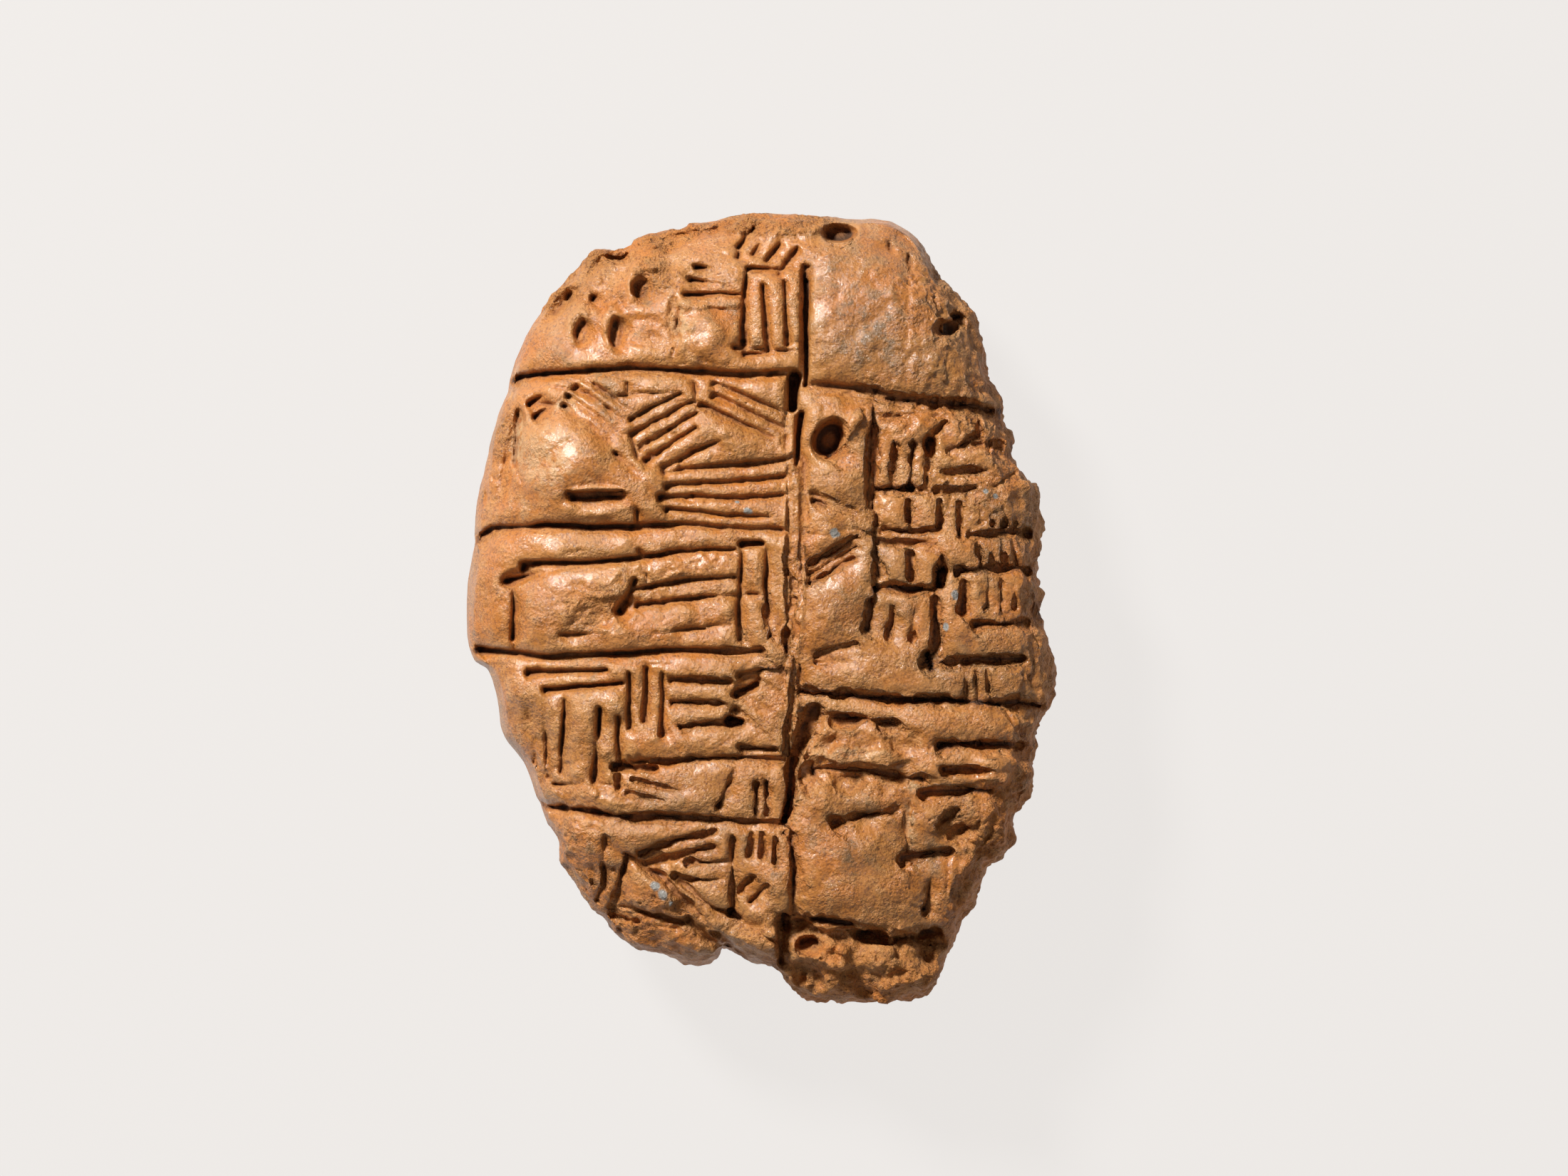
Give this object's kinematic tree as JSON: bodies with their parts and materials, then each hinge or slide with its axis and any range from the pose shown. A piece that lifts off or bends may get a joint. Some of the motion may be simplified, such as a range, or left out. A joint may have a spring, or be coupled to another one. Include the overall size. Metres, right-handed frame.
{
  "type": "cuneiform tablet",
  "caption": "Palm-sized clay tablet with rounded edges, a broken right side and foot, and a face ruled into two columns of cases filled with pressed strokes and round pits.",
  "frame": {"origin": "middle of the box's underside, on the surface the tablet lies on", "axes": "+Z out of the written face, +Y to the tablet's top edge, +X to the reader's right"},
  "size_m": [0.0506, 0.068, 0.0187],
  "materials": {
    "clay": "orange-brown clay, smoothed and slightly waxy on the raised parts, darker and dusty in the strokes, with grey stains and paler worn edges"
  },
  "bodies": {
    "root": {"tablet": "clay"}
  },
  "joints": []
}
